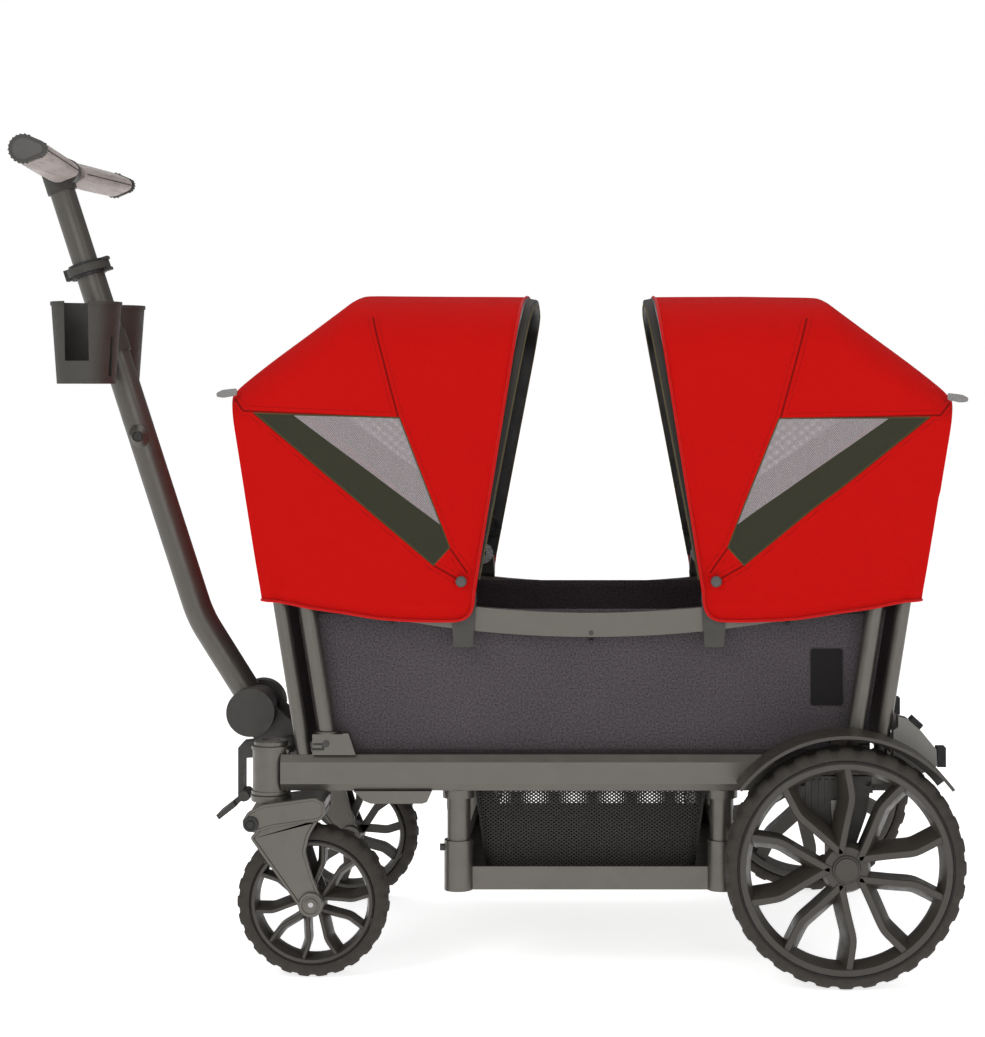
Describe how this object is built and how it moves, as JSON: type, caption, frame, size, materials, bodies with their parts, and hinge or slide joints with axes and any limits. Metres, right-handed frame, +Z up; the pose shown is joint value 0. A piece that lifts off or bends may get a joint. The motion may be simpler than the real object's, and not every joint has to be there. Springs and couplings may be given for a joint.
{
  "type": "kids pull wagon",
  "caption": "Pull wagon for children with two folding canopies, a drop footwell, casters in front and a telescoping handle.",
  "frame": {"origin": "on the ground, below the middle of the whole wagon", "axes": "+X from the pull handle to the rear, +Z up, left is -Y"},
  "size_m": [1.2108, 0.612, 1.0497],
  "materials": {
    "frame_metal": "satin metallic grey-bronze powder coat",
    "dark_plastic": "fine grained moulded plastic",
    "cast_metal": "satin cast",
    "steel": "satin zinc plated",
    "rim_plastic": "satin moulded",
    "tyre_foam": "matte treaded",
    "side_fabric": "charcoal heather weave",
    "canopy_fabric": "red woven polyester",
    "mesh_fabric": "open knit mesh",
    "grip_cover": "grey-taupe stitched grained cover",
    "rubber": "matte",
    "bush_plastic": "smooth",
    "deck_board": "satin panel",
    "bow_strip": "satin"
  },
  "bodies": {
    "chassis": {"side_bars": "frame_metal", "head_tubes": "frame_metal", "swivel_bushes": "bush_plastic", "cross_tubes": "frame_metal", "deck_panels": "deck_board", "footwell_uprights": "frame_metal", "wall_frame_left": "frame_metal", "wall_frame_right": "frame_metal", "end_frames": "frame_metal", "side_panels": "side_fabric", "end_panels": "side_fabric", "frame_brackets": "dark_plastic", "canopy_clamps": "dark_plastic", "fenders": "frame_metal", "rear_housings": "dark_plastic", "rear_axle": "steel", "rear_bushes": "bush_plastic", "bumper_bracket": "cast_metal", "bumper_pads": "rubber", "handle_yoke": "dark_plastic", "handle_pin": "steel", "frame_bolts": "steel"},
    "handle": {"handle_hub": "dark_plastic", "handle_tube": "frame_metal", "clamp_collar": "dark_plastic", "cup_bracket": "dark_plastic", "cup_holders": "dark_plastic"},
    "handle_top": {"inner_tube": "frame_metal", "grip_bar": "steel", "grip_cover": "grip_cover", "grip_fittings": "dark_plastic"},
    "collar_lever": {"clamp_lever": "dark_plastic"},
    "push_button": {"tube_button": "dark_plastic"},
    "pedal": {"release_pedal": "dark_plastic"},
    "brake": {"brake_lever": "cast_metal"},
    "tray": {"footwell_tray": "frame_metal", "footwell_mesh": "mesh_fabric"},
    "latch_buttons_front": {"latch_front": "dark_plastic"},
    "latch_buttons_rear": {"latch_rear": "dark_plastic"},
    "caster_left": {"caster_crown_left": "dark_plastic"},
    "leg_left": {"caster_leg_left": "frame_metal", "front_axle_left": "steel"},
    "front_wheel_left": {"front_rim_left": "rim_plastic", "front_tyre_left": "tyre_foam"},
    "rear_wheel_left": {"rear_rim_left": "rim_plastic", "rear_tyre_left": "tyre_foam"},
    "caster_right": {"caster_crown_right": "dark_plastic"},
    "leg_right": {"caster_leg_right": "frame_metal", "front_axle_right": "steel"},
    "front_wheel_right": {"front_rim_right": "rim_plastic", "front_tyre_right": "tyre_foam"},
    "rear_wheel_right": {"rear_rim_right": "rim_plastic", "rear_tyre_right": "tyre_foam"},
    "bow_front": {"canopy_bow_front": "bow_strip", "canopy_cover_front": "canopy_fabric"},
    "rib_front": {"canopy_rib_front": "steel"},
    "bow_rear": {"canopy_bow_rear": "bow_strip", "canopy_cover_rear": "canopy_fabric"},
    "rib_rear": {"canopy_rib_rear": "steel"}
  },
  "joints": [
    {"name": "handle_tilt", "type": "hinge", "parent": "chassis", "child": "handle", "pos_m": [-0.31455, 0, 0.304], "axis": [0, 1, 0], "range_deg": [-75, 12]},
    {"name": "handle_extend", "type": "slide", "parent": "handle", "child": "handle_top", "axis": [-0.3074, 0, 0.9516], "range_m": [-0.085, 0.12]},
    {"name": "collar_lever_open", "type": "hinge", "parent": "handle", "child": "collar_lever", "pos_m": [-0.51431, 0, 0.89464], "axis": [-0.3074, 0, 0.9516], "range_deg": [0, 100]},
    {"name": "tube_button_press", "type": "slide", "parent": "handle", "child": "push_button", "axis": [0, 1, 0], "range_m": [0, 0.003], "stiffness_N_per_m": 400, "springref_m": -0.004},
    {"name": "pedal_press", "type": "hinge", "parent": "chassis", "child": "pedal", "pos_m": [-0.32955, 0, 0.186], "axis": [0, 1, 0], "range_deg": [-18, 0], "stiffness_Nm_per_rad": 6, "springref_deg": 20.05},
    {"name": "brake_turn", "type": "hinge", "parent": "chassis", "child": "brake", "pos_m": [0.44544, 0, 0.201], "axis": [0, 1, 0], "range_deg": [-25, 25]},
    {"name": "footwell_slide", "type": "slide", "parent": "chassis", "child": "tray", "axis": [0, 0, 1], "range_m": [0, 0.045], "deforming": ["footwell_mesh"]},
    {"name": "latch_front_press", "type": "slide", "parent": "tray", "child": "latch_buttons_front", "axis": [1, 0, 0], "range_m": [0, 0.003], "stiffness_N_per_m": 400, "springref_m": -0.004},
    {"name": "latch_rear_press", "type": "slide", "parent": "tray", "child": "latch_buttons_rear", "axis": [-1, 0, 0], "range_m": [0, 0.003], "stiffness_N_per_m": 400, "springref_m": -0.004},
    {"name": "caster_left_swivel", "type": "hinge", "parent": "chassis", "child": "caster_left", "pos_m": [-0.26355, -0.215, 0.15], "axis": [0, 0, 1], "continuous": true},
    {"name": "leg_left_spring", "type": "hinge", "parent": "caster_left", "child": "leg_left", "pos_m": [-0.28356, -0.215, 0.193], "axis": [0, 1, 0], "range_deg": [-4, 0], "stiffness_Nm_per_rad": 60, "springref_deg": 11.46},
    {"name": "front_wheel_left_roll", "type": "hinge", "parent": "leg_left", "child": "front_wheel_left", "pos_m": [-0.20955, -0.215, 0.092], "axis": [0, 1, 0], "continuous": true},
    {"name": "rear_wheel_left_roll", "type": "hinge", "parent": "chassis", "child": "rear_wheel_left", "pos_m": [0.45244, -0.276, 0.146], "axis": [0, 1, 0], "continuous": true},
    {"name": "caster_right_swivel", "type": "hinge", "parent": "chassis", "child": "caster_right", "pos_m": [-0.26355, 0.215, 0.15], "axis": [0, 0, 1], "continuous": true},
    {"name": "leg_right_spring", "type": "hinge", "parent": "caster_right", "child": "leg_right", "pos_m": [-0.28356, 0.215, 0.193], "axis": [0, 1, 0], "range_deg": [-4, 0], "stiffness_Nm_per_rad": 60, "springref_deg": 11.46},
    {"name": "front_wheel_right_roll", "type": "hinge", "parent": "leg_right", "child": "front_wheel_right", "pos_m": [-0.20955, 0.215, 0.092], "axis": [0, 1, 0], "continuous": true},
    {"name": "rear_wheel_right_roll", "type": "hinge", "parent": "chassis", "child": "rear_wheel_right", "pos_m": [0.45244, 0.276, 0.146], "axis": [0, 1, 0], "continuous": true},
    {"name": "canopy_front_fold", "type": "hinge", "parent": "chassis", "child": "bow_front", "pos_m": [-0.02056, 0, 0.497], "axis": [0, 1, 0], "range_deg": [-56, 0], "deforming": ["canopy_cover_front"]},
    {"name": "rib_front_fold", "type": "hinge", "parent": "chassis", "child": "rib_front", "pos_m": [-0.02056, 0, 0.497], "axis": [0, 1, 0], "range_deg": [-33.6, 0]},
    {"name": "canopy_rear_fold", "type": "hinge", "parent": "chassis", "child": "bow_rear", "pos_m": [0.29345, 0, 0.497], "axis": [0, 1, 0], "range_deg": [0, 56], "deforming": ["canopy_cover_rear"]},
    {"name": "rib_rear_fold", "type": "hinge", "parent": "chassis", "child": "rib_rear", "pos_m": [0.29345, 0, 0.497], "axis": [0, 1, 0], "range_deg": [0, 33.6]}
  ],
  "couplings": [
    {"joint": "rib_front_fold", "follows": "canopy_front_fold", "ratio": 0.6},
    {"joint": "rib_rear_fold", "follows": "canopy_rear_fold", "ratio": 0.6}
  ]
}
